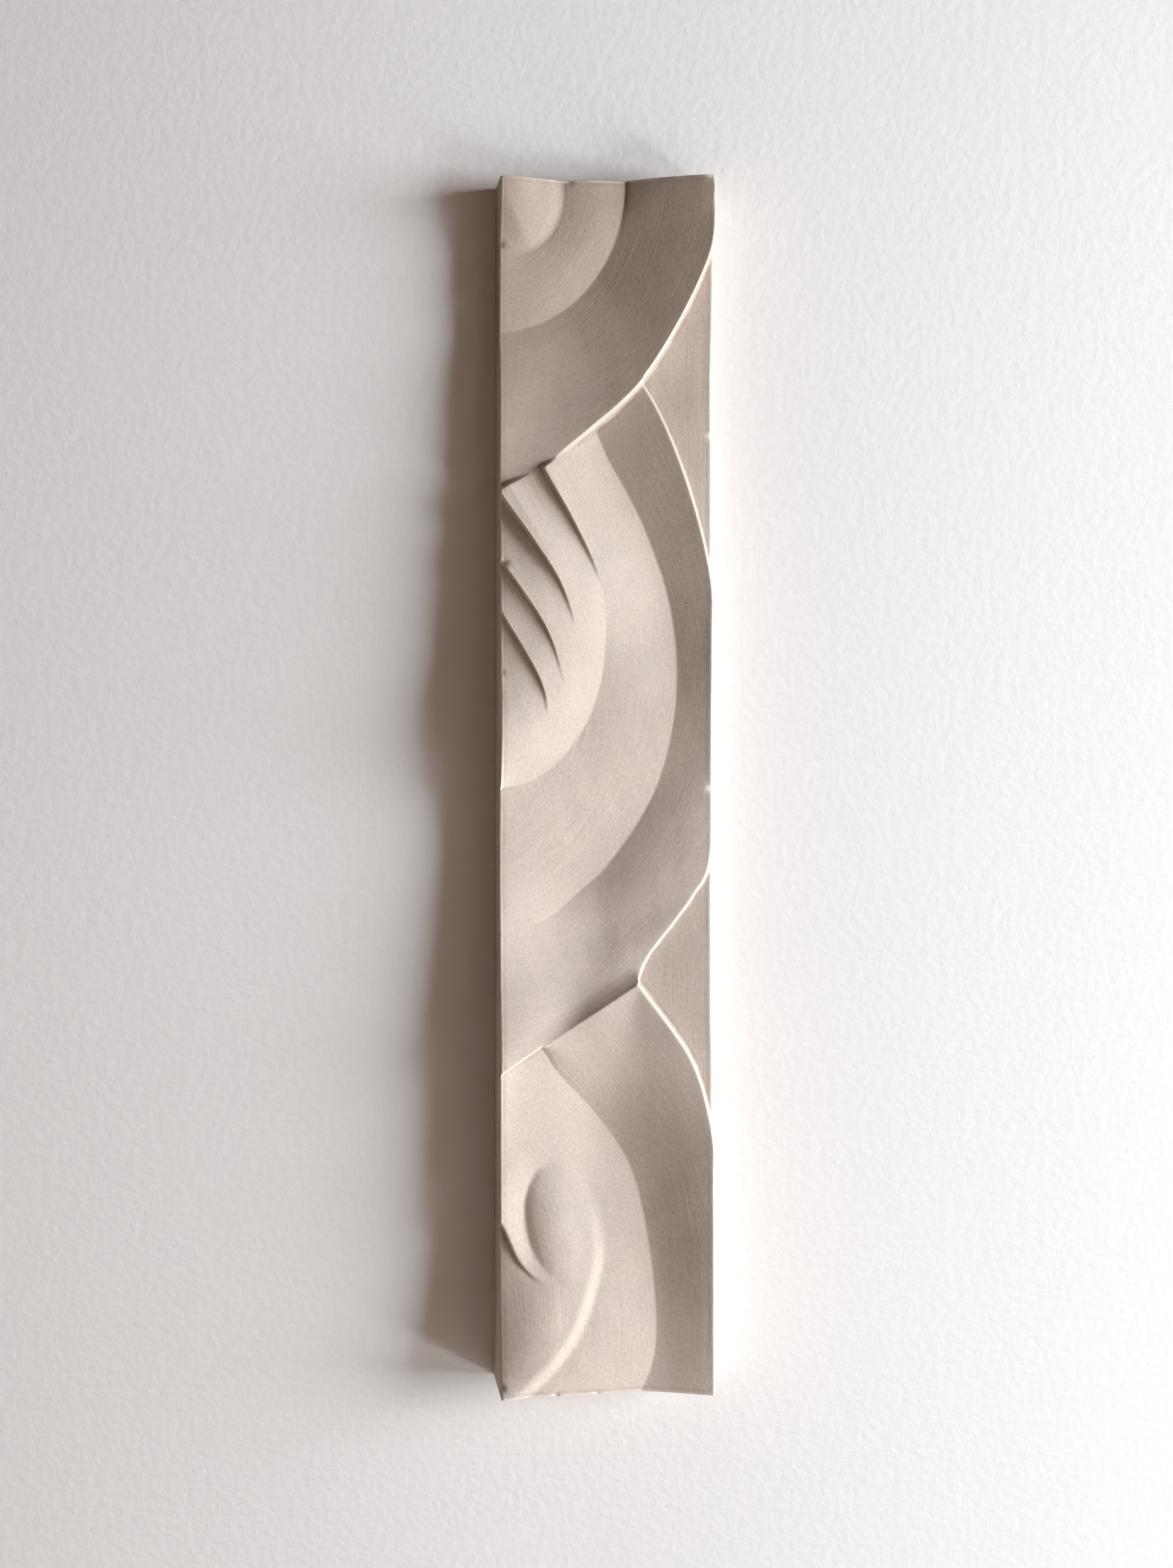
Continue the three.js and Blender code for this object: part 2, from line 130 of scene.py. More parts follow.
# The top fan has a boss in the corner, a ring round it, and a broad cove that climbs to the rim.
BOSS_EDGE = line([(31.8, -12, 3), (31.5, 11, 3), (25, 28, 3.6), (12.5, 35.6, 4.4), (3, 34.5, 5), (-8, 29, 5)])
RING_FOOT = line([(62.3 * math.cos(turn) - 2, 72.6 * math.sin(turn), 1.3 + 2.1 * max(math.sin(turn), 0) ** 3)
                  for turn in np.radians(np.arange(-12, 105, 14.5))])
TOP_RIM = line([(101.2, 8, 14.8), (97.4, 41, 14.4), (67.2, 96.6, 14.4), (28.7, 130.5, 8.4), (1.1, 145.8, 5.2),
                (-14, 153.8, 4.2)])
BOSS_CROWN = 11
RING_SWELL = 1.2
COVE_BULGE = 0.9
BROW = 2.2


def top_fan(a, v):
    boss = measure(BOSS_EDGE, a, v)
    foot = measure(RING_FOOT, a, v)
    rim = measure(TOP_RIM, a, v)
    crown = BOSS_CROWN - 0.0082 * (a / across) ** 2 - 0.0045 * (v / down) ** 2
    crown -= 1.4 * ease(1 - v / (14 * down)) * ease((a / across - 6) / 16)
    on_boss = mix(boss[2], crown, 1 - (1 - clamp(boss[0] / mix(7, 26, ease(1 - a / 16)))) ** 2)
    on_ring = stretch(boss, foot) + RING_SWELL * swell(way(boss, foot))
    bulge = COVE_BULGE * ease(1 - a / (35 * across)) * swell(way(foot, rim))
    brow = BROW * ease(1 - v / (30 * down)) * clamp(swell(way(foot, rim))) ** 0.5
    on_cove = stretch(foot, rim) + bulge + brow
    return np.where(boss[0] > 0, on_boss, np.where(foot[0] > 0, on_ring, on_cove))


# The middle fan has a heart of four blades that melt into a palm, a broad band and an outer band.
MIDDLE_RIM = line([(62, 88, 7.5), (74.9, 109.5, 8.6), (85.8, 135.1, 8.6), (96, 169, 8.2), (101.2, 200, 7.4),
                   (103.5, 245, 6), (102.5, 290, 4.2), (99.2, 323.6, 4.4), (92, 337.9, 4), (83.1, 350.6, 3.6),
                   (70.8, 367.2, 3), (66.1, 378.5, 3)])
SEAM_ABOVE = line([(66.1, 378.5, 3), (48.1, 390.3, 4.6), (38, 397, 5), (29.2, 402.7, 6.2), (0, 421.8, 12),
                   (-14, 431, 13.4)])
SEAM_BELOW = line([(66.1, 378.5, 6.8), (48.1, 390.3, 7.4), (29.2, 402.7, 7.2), (0, 421.8, 9.4),
                   (-14, 431, 9.2)])
SEAM_BANK = 9
MIDDLE_CREASE = line([(44, 108, 1), (49.5, 126, -0.6), (69, 164, -0.3), (81.8, 204, -0.2),
                      (84.2, 246, -0.4), (75, 287, -1.3), (54.2, 321.3, -2.2), (38, 337, -2.2),
                      (20.9, 350, 1.2), (-14, 360, 11)])
MIDDLE_HEART = line([(12, 120, 10), (33.1, 158.9, 9.4), (47, 191.5, 8), (49.8, 214, 5.8), (47, 241.5, 3.2),
                     (36.5, 264.8, 2.6), (17, 283, 4.4), (-14, 291, 8.6)])
MIDDLE_EDGE = line([(0, 130, 8), (0, 182, 9.4), (0, 206, 10), (0, 240, 11.2), (0, 262, 13.2), (0, 291, 9.4),
                    (0, 305, 8.6)])
BLADE_NEAR = 14
BLADE_FAR = 18
BLADE_WALL = 1.2
BLADE_FALL = 7
PALM_SWELL = 4.2

# Each blade is its edge, the height of its step, and how far into its swell it begins.
BLADES = [
    (line([(10, 118), (21, 138.4), (33.8, 160.8), (42.8, 179), (47.8, 192)]), 4.4, 0.5),
    (line([(-9, 136), (0.7, 149.7), (16.9, 173.3), (28.2, 191.9), (35.8, 213)]), 7, 0.5),
    (line([(-8, 168), (1.2, 181.5), (17, 204.9), (24.2, 219.2), (30.5, 239)]), 3.5, 0.15),
    (line([(-7, 193), (0.9, 205.2), (15.3, 230), (20.4, 242), (22.6, 254)]), 3.4, 0.15),
]


def fillet(share, run, radius=0.5):
    """A straight ramp from 0 to 1 whose two ends are rounded over a radius, the ramp being run long."""
    bend = radius / run
    start = np.clip(share + bend, 0, 2 * bend) ** 2 / (4 * bend) + np.maximum(share - bend, 0)
    return start - np.clip(share - 1 + bend, 0, 2 * bend) ** 2 / (4 * bend) - np.maximum(share - 1 - bend, 0)


def blades(a, v):
    rise = np.zeros(a.shape)
    for edge, step, begin in BLADES:
        off, along, _ = measure(edge, a, v)
        height = step * clamp(swell(mix(begin, 1, along))) ** 0.7 * (1 - along**3)
        own = 0.25 * clamp(1 - np.abs(off) / BLADE_NEAR) ** 2
        beyond = -0.75 * clamp(1 - (np.abs(off) / BLADE_FAR) ** 1.5)
        fall = 0.6 * clamp(off / BLADE_WALL) + 0.4 * (1 - (1 - clamp(off / BLADE_FALL)) ** 3)
        rise += height * mix(own, beyond, fall)
    return rise


def middle_fan(a, v):
    crease = measure(MIDDLE_CREASE, a, v)
    heart = measure(MIDDLE_HEART, a, v)
    edge = measure(MIDDLE_EDGE, a, v)
    outline = together(measure(MIDDLE_RIM, a, v), measure(SEAM_ABOVE, a, v))
    climb = way(crease, outline)
    climb = mix(climb, climb**2.4, ease((v / down - 330) / 30))
    bulge = 3 * ease(1 - a / (40 * across)) + 1.2 * ease((v / down - 270) / 40) * ease((a / across - 40) / 20)
    outer = mix(crease[2], outline[2], climb) + bulge * swell(climb)
    band = stretch(heart, crease) + 0.3 * swell(way(heart, crease))
    full = ease((285 - v / down) / 60) * ease((v / down - 140) / 50)
    palm = stretch(edge, heart) + PALM_SWELL * swell(way(edge, heart)) * full
    above, below = measure(SEAM_ABOVE, a, v), measure(SEAM_BELOW, a, v)
    bank = np.maximum(below[2] - above[2], 0) * clamp(1 - np.maximum(above[0], 0) / SEAM_BANK) ** 2
    return np.where(crease[0] < 0, outer + bank, np.where(heart[0] < 0, band, palm)) + blades(a, v)


# The bottom fan falls from the left edge to a crease, with an eye, a crescent over a hollow and a long crest.
BOTTOM_RIM = line([(66.1, 378.5, 6.8), (82.1, 400.3, 9), (90.4, 413.7, 9.2), (96.8, 432.1, 9),
                   (101.2, 458, 8.4), (103, 500, 9), (103, 580, 9.2)])
BOTTOM_CREASE = line([(17, 402, 7.6), (27, 420, 2.4), (48.3, 443.5, -4.6), (63.9, 468.5, -4.6),
                      (71.6, 504, -2), (74.2, 540, 1.2), (70.6, 561.6, 2.6), (60, 580, 3.6)])
BOTTOM_EDGE = line([(0, 405, 9.2), (0, 435, 8.4), (0, 480, 8.8), (0, 520, 11), (0, 550, 12.6),
                    (0, 580, 15.2)])
CREST = line([(30, 455), (45.5, 480.2), (50.2, 504.3), (46.8, 521), (39.4, 540.7), (27.6, 557.2),
              (12.3, 571), (2, 580)])
CREST_ROLL = 7
CREST_TAIL = 30
EYE = line([(34, 461), (19.3, 465.9), (13.3, 476.4), (12.2, 488), (15, 502), (20.9, 511.7), (34, 523)])
EYE_MIDDLE = (27, 492)
EYE_HALF_SIZE = (13, 24)
EYE_DOME = 1.8
EYE_BANK = 12.5
EYE_FLANK = 4.5
CRESCENT = line([(-8, 478), (1.1, 492.5), (9.4, 509.3), (21.8, 519.2), (34, 520), (46, 512)])
CRESCENT_WALL = 1.6
CRESCENT_FADE = 22
HOLLOW_REACH = 27
HOLLOW_DROP = 4.8


def crest(a, v):
    off, along, _ = measure(CREST, a, v)
    gap = np.abs(off)
    valley = -0.3 * clamp(1 - gap / np.where(off > 0, 5, 12)) ** 2
    roll = 1.8 * ease(gap / CREST_ROLL) * (1 - ease((gap - 2 * CREST_ROLL) / CREST_TAIL))
    return ease(along / 0.45) * (valley + np.where(off > 0, roll, 0))


def eye(a, v):
    off, along, _ = measure(EYE, a, v)
    valley = np.where(off > 0, clamp(1 - off / EYE_BANK) ** 1.5, np.exp(np.minimum(off, 0) / EYE_FLANK))
    share_a = (a / across - EYE_MIDDLE[0]) / EYE_HALF_SIZE[0]
    share_v = (v / down - EYE_MIDDLE[1]) / EYE_HALF_SIZE[1]
    return EYE_DOME * np.exp(-(share_a**2 + share_v**2)) - 3 * np.abs(swell(along)) ** 1.5 * valley


def hollow(a, v):
    off, along, _ = measure(CRESCENT, a, v)
    run = CRESCENT_WALL + CRESCENT_FADE * ease((along - 0.45) / 0.5)
    bank = clamp(1 - a / (HOLLOW_REACH * across)) ** 2
    return -HOLLOW_DROP * ease(0.5 + off / run) * bank * (1 - ease((v / down - 555) / 20))


def bottom_fan(a, v):
    crease = measure(BOTTOM_CREASE, a, v)
    edge = measure(BOTTOM_EDGE, a, v)
    outline = together(measure(BOTTOM_RIM, a, v), measure(SEAM_BELOW, a, v))
    belly = mix(-0.8, 1.6, ease((v / down - 470) / 100)) * swell(way(edge, crease))
    body = stretch(edge, crease) + belly + crest(a, v) + eye(a, v) + hollow(a, v)
    climb = way(crease, outline)
    outer = mix(crease[2], outline[2], mix(climb, ease(climb), 0.3))
    return np.where(crease[0] < 0, outer, body)


def apron(a, v):
    """The two plain corners of the slab outside the fans, each falling a little from the right edge."""
    upper = mix(8, 4.2, ease((v / down - 50) / 50))
    lower = mix(2, 4.4, ease((v / down - 385) / 35)) - 0.1 * (WIDTH - a) / across
    return mix(upper, lower, ease((v / down - 200) / 100))


def inside_fans(a, v):
    """How far places lie inside each fan. The fans overlap, from the top one down."""
    seam = measure(SEAM_ABOVE, a, v)[0]
    top = measure(TOP_RIM, a, v)[0]
    middle = np.minimum(measure(MIDDLE_RIM, a, v)[0], seam)
    bottom = np.minimum(measure(BOTTOM_RIM, a, v)[0], -seam)
    return top, middle, bottom


# The wall of a rim or a seam has a least run. It leans more the higher it stands over what lies outside, and
# banks out where the outside is the higher. A share of its run lies outside its line.
WALL_FOOT = 1
WALL_LEAN = 0.17
WALL_BANK = 0.3
WALL_OUTSIDE = 0.35


def wall_run(inner, outer):
    return WALL_FOOT + WALL_LEAN * np.maximum(inner - outer, 0) + WALL_BANK * np.maximum(outer - inner, 0)


def wall(inner, outer, off):
    run = wall_run(inner, outer)
    return mix(outer, inner, fillet(WALL_OUTSIDE + off / run, run))


GROUND_TOP = 11.4
GROUND_BOTTOM = 19.3
HAND_WAVE = 0.1
HAND_RIPPLE = 0.03


def depth_at(a, v):
    """The depth of the carved front over the flat back, with a little waviness left by the hand."""
    top, middle, _ = inside_fans(a, v)
    lower = wall(bottom_fan(a, v), apron(a, v), measure(BOTTOM_RIM, a, v)[0])
    upper = wall(middle_fan(a, v), lower, middle)
    ground = mix(GROUND_TOP, GROUND_BOTTOM, v / HEIGHT)
    wave = np.sin(a / 7.3 + 1.7 * np.sin(v / 19)) * np.sin(v / 11.7 + 1.3 * np.sin(a / 13))
    ripple = np.sin(a / 2.9 + v / 6.1 + 2 * np.sin(v / 17)) * np.sin(v / 3.7 - a / 5.3)
    return ground + wall(top_fan(a, v), upper, top) + HAND_WAVE * wave + HAND_RIPPLE * ripple


def rows(curve, shifts, pitch, wanted=None):
    """Places along a line at an even pitch, set off sideways by each of the shifts."""
    steps = np.hypot(*np.diff(curve[:, :2], axis=0).T)
    walked = np.concatenate([[0], np.cumsum(steps)])
    spots = np.arange(pitch / 2, walked[-1], pitch)
    a = np.interp(spots, walked, curve[:, 0])
    v = np.interp(spots, walked, curve[:, 1])
    run_a, run_v = np.gradient(a), np.gradient(v)
    length = np.hypot(run_a, run_v)
    keep = np.ones(a.shape, bool) if wanted is None else wanted(a, v)
    sets = []
    for shift in shifts:
        side = shift(a, v) if callable(shift) else shift
        sets.append(np.column_stack([a - run_v / length * side, v + run_a / length * side])[keep])
    return np.vstack(sets)


# The mesh has close rows of places along the rims and creases, and a plain field of them between.
WALL_PITCH = 0.75
CREASE_PITCH = 0.9
CREASE_ROWS = [-0.6, 0, 0.6]
BLADE_ROWS = [-0.7, -0.3, 0, 0.4, 0.8, 1.2, 1.8, 2.5]
CRESCENT_ROWS = [-0.95, -0.5, 0, 0.5, 0.95]
FIELD_PITCH = 1.05
SIDE_PITCH = 1.1
RIM_ROUND = 0.6


def wall_rows(curve, inner, outer, wanted=None):
    shifts = [lambda a, v, part=part, extra=extra: part * wall_run(inner(a, v), outer(a, v)) + extra
              for part, extra in [(-WALL_OUTSIDE, -0.7), (-WALL_OUTSIDE, -0.3), (-WALL_OUTSIDE, 0.1),
                                  (0.5 - WALL_OUTSIDE, 0), (1 - WALL_OUTSIDE, -0.1),
                                  (1 - WALL_OUTSIDE, 0.3), (1 - WALL_OUTSIDE, 0.7)]]
    return rows(curve, shifts, WALL_PITCH, wanted)


def clear_of_top(a, v):
    return measure(TOP_RIM, a, v)[0] < 0


def in_middle(a, v):
    top, middle, _ = inside_fans(a, v)
    return (top < -1) & (middle > 1)


def in_bottom(a, v):
    return inside_fans(a, v)[2] > 1


def beside_top(a, v):
    return np.where(measure(MIDDLE_RIM, a, v)[0] > 0, middle_fan(a, v), apron(a, v))


sharp_rows = [
    wall_rows(TOP_RIM, top_fan, beside_top),
    wall_rows(MIDDLE_RIM, middle_fan, apron, clear_of_top),
    wall_rows(SEAM_ABOVE, middle_fan, bottom_fan),
    wall_rows(BOTTOM_RIM, bottom_fan, apron),
    *(rows(edge, BLADE_ROWS, WALL_PITCH, clear_of_top) for edge, _, _ in BLADES),
    rows(CRESCENT, CRESCENT_ROWS, WALL_PITCH, in_bottom),
    rows(BOSS_EDGE, CREASE_ROWS, CREASE_PITCH),
    rows(RING_FOOT, CREASE_ROWS, CREASE_PITCH),
    rows(MIDDLE_CREASE, CREASE_ROWS, CREASE_PITCH, in_middle),
    rows(MIDDLE_HEART, CREASE_ROWS, CREASE_PITCH, in_middle),
    rows(BOTTOM_CREASE, CREASE_ROWS, CREASE_PITCH, in_bottom),
    rows(CREST, [0], CREASE_PITCH, in_bottom),
]
rim_rings = []
for inset in (0, 0.08, 0.2, 0.38, RIM_ROUND, SIDE_PITCH):
    side_a = np.linspace(inset, WIDTH - inset, round(WIDTH / SIDE_PITCH))
    side_v = np.linspace(inset, HEIGHT - inset, round(HEIGHT / SIDE_PITCH))[1:-1]
    rim_rings += [
        np.column_stack([side_a, np.full_like(side_a, inset)]),
        np.column_stack([side_a, np.full_like(side_a, HEIGHT - inset)]),
        np.column_stack([np.full_like(side_v, inset), side_v]),
        np.column_stack([np.full_like(side_v, WIDTH - inset), side_v]),
    ]
row_count = round(HEIGHT / (FIELD_PITCH * 0.866))
column_count = round(WIDTH / FIELD_PITCH)
row, column = np.mgrid[1:row_count, 0:column_count]
field = np.column_stack([
    ((column + np.where(row % 2, 0.75, 0.25)) * WIDTH / column_count).ravel(),
    (row * HEIGHT / row_count).ravel(),
])


def thin_out(groups, rooms):
    """Keeps a place only if no earlier one is within its group's room."""
    cell = 0.5
    taken = {}
    kept = []
    for group, room in zip(groups, rooms):
        reach = math.ceil(room / cell)
        for a, v in group.tolist():
            if not (0 <= a <= WIDTH and 0 <= v <= HEIGHT):
                continue
            i, j = int(a // cell), int(v // cell)
            if any((b - a) ** 2 + (w - v) ** 2 < room**2
                   for di in range(-reach, reach + 1) for dj in range(-reach, reach + 1)
                   for b, w in taken.get((i + di, j + dj), ())):
                continue
            taken.setdefault((i, j), []).append((a, v))
            kept.append((a, v))
    return kept


RING_ROOM = 0.03
SHARP_ROOM = 0.22
FIELD_ROOM = 0.7
rooms = [RING_ROOM] * len(rim_rings) + [SHARP_ROOM] * len(sharp_rows) + [FIELD_ROOM]
places = thin_out([*rim_rings, *sharp_rows, field], rooms)
coords, _, faces, *_ = delaunay_2d_cdt([Vector(place) for place in places], [], [], 0, 1e-6)
coords = np.array(coords)
faces = np.array(faces)
a, v = coords.T
border = np.minimum.reduce([a, v, WIDTH - a, HEIGHT - v])
worn = RIM_ROUND - np.sqrt(np.maximum(RIM_ROUND**2 - np.maximum(RIM_ROUND - border, 0) ** 2, 0))
carved = depth_at(a, v)
depth = carved - worn

# Small breaks along the arrises, each (across, down, how far it reaches, how deep it goes).
NICKS = [
    (25.8, 569.5, 1.3, 1),
    (45.5, 569.6, 1, 0.9),
    (0.3, 565, 1.4, 1.2),
    (0.5, 31, 1.6, 0.8),
    (0.8, 182, 2.2, 1.4),
    (99.8, 121.5, 1.5, 1.1),
    (99.8, 287.6, 1.6, 1.1),
    (99.6, 0.6, 2.4, 1.2),
    (33, 0.4, 1.8, 0.8),
    (0.6, 233, 1.1, 0.7),
]
for nick_a, nick_v, reach, drop in NICKS:
    depth -= drop * np.exp(-((a - nick_a * across) ** 2 + (v - nick_v * down) ** 2) / reach**2)

# Each place knows how hollow its surroundings are, and the way that a rubbing hand went over it.
PROBE = 1.2
around = [(PROBE, 0), (-PROBE, 0), (0, PROBE), (0, -PROBE)]
beside = sum(depth_at(a + step_a, v + step_v) for step_a, step_v in around) / len(around)
cavity = beside - carved
in_top, in_mid, in_low = inside_fans(a, v)
sweep = np.select([in_top > 0, in_mid > 0, in_low > 0],
                  [measure(curve, a, v)[0] for curve in (RING_FOOT, MIDDLE_CREASE, BOTTOM_CREASE)], WIDTH - a)
front = np.column_stack([low.x * 1000 + a, -depth, high.z * 1000 - v])
first, second, third = front[faces.T]
turned = np.cross(second - first, third - first)[:, 1] > 0
faces[turned] = faces[turned][:, ::-1]

# The four sides and the back close the casting behind the carved front.
on_border = np.flatnonzero(border < 1e-4)
order = np.argsort(np.arctan2(v[on_border] / HEIGHT - 0.5, a[on_border] / WIDTH - 0.5))
ring = on_border[order]
side_steps = 4
vertices = [front]
rings = [ring]
for step in range(1, side_steps + 1):
    level = front[ring].copy()
    level[:, 1] *= 1 - step / side_steps
    rings.append(np.arange(len(ring)) + sum(len(part) for part in vertices))
    vertices.append(level)
centre = sum(len(part) for part in vertices)
vertices.append(np.array([[(low.x + high.x) * 500, 0, (low.z + high.z) * 500]]))
polygons = faces.tolist()
for upper, lower in zip(rings, rings[1:]):
    for i in range(len(ring)):
        j = (i + 1) % len(ring)
        polygons.append([upper[i], upper[j], lower[j], lower[i]])
for i in range(len(ring)):
    polygons.append([rings[-1][i], rings[-1][(i + 1) % len(ring)], centre])

mesh = bpy.data.meshes.new("relief_panel_plaster")
polygons = [[int(i) for i in polygon] for polygon in polygons]
mesh.from_pydata((np.vstack(vertices) / 1000).tolist(), [], polygons)
spare = sum(len(part) for part in vertices) - len(front)
for name, values, rest in [("edge_gap", border, 4), ("cavity", cavity, 0), ("sweep", sweep, 0)]:
    grades = [*values.tolist(), *[rest] * spare]
    mesh.attributes.new(name, "FLOAT", "POINT").data.foreach_set("value", grades)
mesh.validate()
mesh.polygons.foreach_set("use_smooth", [True] * len(mesh.polygons))
SHARP_ANGLE = 50
mesh.set_sharp_from_angle(angle=math.radians(SHARP_ANGLE))
panel = bpy.data.objects.new("relief_panel_plaster", mesh)
bpy.context.scene.collection.objects.link(panel)


def put(tree, kind, name, inputs, **settings):
    """A named node, with each input either set to a constant or joined to another node's output."""
    node = tree.nodes.new(kind)
    node.name = node.label = name
    for key, value in settings.items():
        setattr(node, key, value)
    for key, value in inputs.items():
        if isinstance(value, bpy.types.NodeSocket):
            tree.links.new(value, node.inputs[key])
        else:
            node.inputs[key].default_value = value
    return node


def spread(tree, name, value, low_in, high_in, low_out, high_out):
    return put(tree, "ShaderNodeMapRange", name, {"Value": value, "From Min": low_in, "From Max": high_in,
                                                  "To Min": low_out, "To Max": high_out}).outputs["Result"]


def noise(tree, name, place, scale, detail):
    inputs = {"Vector": place, "Scale": scale, "Detail": detail}
    return put(tree, "ShaderNodeTexNoise", name, inputs).outputs["Fac"]


def combine(tree, name, how, one, other):
    return put(tree, "ShaderNodeMath", name, {0: one, 1: other}, operation=how).outputs[0]


def times(tree, name, one, other):
    return combine(tree, name, "MULTIPLY", one, other)


def blend(tree, name, share, one, other, how="MIX"):
    return put(tree, "ShaderNodeMix", name, {"Factor": share, "A": one, "B": other}, data_type="RGBA",
               blend_type=how).outputs["Result"]


def grown(name):
    return put(tree, "ShaderNodeAttribute", name, {}, attribute_name=name).outputs["Fac"]


# The plaster is paler towards the bottom and browner at the top, with a fine grain, pinholes, dirt and
# painted shade in the sharp recesses, faint rubbing marks that follow the curves, and pale worn arrises.
LOWER_TONE = (0.64, 0.515, 0.43, 1)
UPPER_TONE = (0.48, 0.37, 0.29, 1)
DIRT_AND_SHADE_TONE = (0.2, 0.14, 0.095, 1)
STAIN_TONE = (0.24, 0.17, 0.115, 1)
WORN_TONE = (0.8, 0.68, 0.59, 1)
PINHOLE_TONE = (0.09, 0.06, 0.045, 1)
plaster = bpy.data.materials.new("rubbed_plaster")
plaster.use_nodes = True
tree = plaster.node_tree
surface = tree.nodes["Principled BSDF"]
place = put(tree, "ShaderNodeTexCoord", "place", {}).outputs["Object"]
height = put(tree, "ShaderNodeSeparateXYZ", "height", {0: place}).outputs["Z"]
towards_top = spread(tree, "towards_top", height, 0.1, 0.24, 0, 1)
colour = blend(tree, "tone", towards_top, LOWER_TONE, UPPER_TONE)

clouds = noise(tree, "clouds", place, 24, 3)
grain = noise(tree, "grain", place, 900, 5)
gap = grown("edge_gap")
finely_across = times(tree, "sweep_scale", grown("sweep"), 1.4)
slowly_along = times(tree, "height_scale", height, 18)
across_sweep = put(tree, "ShaderNodeCombineXYZ", "across_sweep",
                   {"X": finely_across, "Y": slowly_along}).outputs[0]
rubbing = noise(tree, "rubbing", across_sweep, 1, 4)
rubbed = spread(tree, "where_rubbed", noise(tree, "rub_patches", place, 14, 1), 0.45, 0.65, 0, 0.16)
cloud_shade = spread(tree, "cloud_shade", clouds, 0.3, 0.7, 0.93, 1.06)
grain_shade = spread(tree, "grain_shade", grain, 0.3, 0.7, 0.9, 1.09)
rub_shade = spread(tree, "rub_shade", rubbing, 0.35, 0.65, 0.6, 1.3)
colour = blend(tree, "cloudy", 1, colour, cloud_shade, "MULTIPLY")
colour = blend(tree, "grainy", 1, colour, grain_shade, "MULTIPLY")
colour = blend(tree, "rubbed", rubbed, colour, rub_shade, "MULTIPLY")

patches = spread(tree, "patches", noise(tree, "patch_noise", place, 130, 3), 0.35, 0.65, 0.35, 1)
# Sharp recesses are darkened towards a deep brown. This is partly dirt and partly painted shade, where
# creases and hollows get less light.
dirt_and_shade = times(tree, "patchy_dirt_and_shade", spread(tree, "recess", grown("cavity"), 0.06, 0.5, 0, 0.5), patches)
colour = blend(tree, "dirt_and_shade_mix", dirt_and_shade, colour, DIRT_AND_SHADE_TONE)
line_in = spread(tree, "stain_inner", gap, 3.4, 2, 0, 1)
line_out = spread(tree, "stain_outer", gap, 1, 1.8, 0, 0.28)
stain = times(tree, "patchy_stain", times(tree, "stain_line", line_in, line_out), patches)
colour = blend(tree, "stained", stain, colour, STAIN_TONE)
crown = spread(tree, "ridge", grown("cavity"), -0.1, -0.5, 0, 0.15)
wear = times(tree, "patchy_wear", spread(tree, "arris", gap, 1.5, 0.5, 0, 0.75), patches)
colour = blend(tree, "worn", combine(tree, "worn_share", "MAXIMUM", crown, wear), colour, WORN_TONE)

cells = put(tree, "ShaderNodeTexVoronoi", "pinhole_cells", {"Vector": place, "Scale": 75})
cell_colour = put(tree, "ShaderNodeSeparateColor", "cell_colour", {0: cells.outputs["Color"]})
few = spread(tree, "few_cells", cell_colour.outputs[0], 0.78, 0.8, 0, 1)
pinhole_rim = spread(tree, "pinhole_rim", cells.outputs["Distance"], 0.03, 0.018, 0, 1)
pinhole = times(tree, "pinhole", pinhole_rim, few)
colour = blend(tree, "pinholed", times(tree, "pinhole_dark", pinhole, 0.8), colour, PINHOLE_TONE)
tree.links.new(colour, surface.inputs["Base Color"])

fine_grain = noise(tree, "fine_grain", place, 420, 5)
rub_height = times(tree, "rub_height", rubbing, 0.8)
pinhole_depth = times(tree, "pinhole_depth", pinhole, 3)
peel = combine(tree, "peel", "ADD", fine_grain, rub_height)
relief = combine(tree, "pitted", "SUBTRACT", peel, pinhole_depth)
bump = put(tree, "ShaderNodeBump", "bump", {"Height": relief, "Strength": 0.6, "Distance": 0.0002})
tree.links.new(bump.outputs[0], surface.inputs["Normal"])
surface.inputs["Roughness"].default_value = 0.85
surface.inputs["Specular IOR Level"].default_value = 0.25
mesh.materials.append(plaster)
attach(panel, "root")
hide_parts("relief_panel")

# The wall behind is painted plaster, pale and a little rough. It is a one-sided backdrop with an opening
# behind the panel, so that the panel's back can be seen and lit from the other side.
FLOOR_LEVEL = -1.3
WALL_TOP = 3
WALL_HALF_WIDTH = 3
WALL_OVERLAP = 0.00005
WALL_CLEARANCE = 0.0003


def corners(left, right, bottom, top):
    return [(left, bottom), (right, bottom), (right, top), (left, top)]


near = corners(low.x + WALL_OVERLAP, high.x - WALL_OVERLAP, low.z + WALL_OVERLAP, high.z - WALL_OVERLAP)
far = corners(-WALL_HALF_WIDTH, WALL_HALF_WIDTH, FLOOR_LEVEL, WALL_TOP)
wall_mesh = bpy.data.meshes.new("backdrop_wall")
wall_mesh.from_pydata([(x, -WALL_CLEARANCE, z) for x, z in near + far], [],
                      [(i, 4 + i, 4 + (i + 1) % 4, (i + 1) % 4) for i in range(4)])
backdrop = bpy.data.objects.new("backdrop_wall", wall_mesh)
bpy.context.scene.collection.objects.link(backdrop)
wall_paint = bpy.data.materials.new("wall_paint")
wall_paint.use_nodes = True
tree = wall_paint.node_tree
paint = tree.nodes["Principled BSDF"]
paint.inputs["Base Color"].default_value = (0.86, 0.79, 0.74, 1)
paint.inputs["Roughness"].default_value = 0.9
place = put(tree, "ShaderNodeTexCoord", "place", {}).outputs["Object"]
wall_grain = noise(tree, "wall_grain", place, 230, 4)
wall_bump = put(tree, "ShaderNodeBump", "wall_bump",
                {"Height": wall_grain, "Strength": 0.6, "Distance": 0.0004})
tree.links.new(wall_bump.outputs[0], paint.inputs["Normal"])
which_side = put(tree, "ShaderNodeNewGeometry", "which_side", {}).outputs["Backfacing"]
open_back = put(tree, "ShaderNodeBsdfTransparent", "open_back", {}).outputs[0]
chooser = put(tree, "ShaderNodeMixShader", "chooser", {0: which_side, 1: paint.outputs[0], 2: open_back})
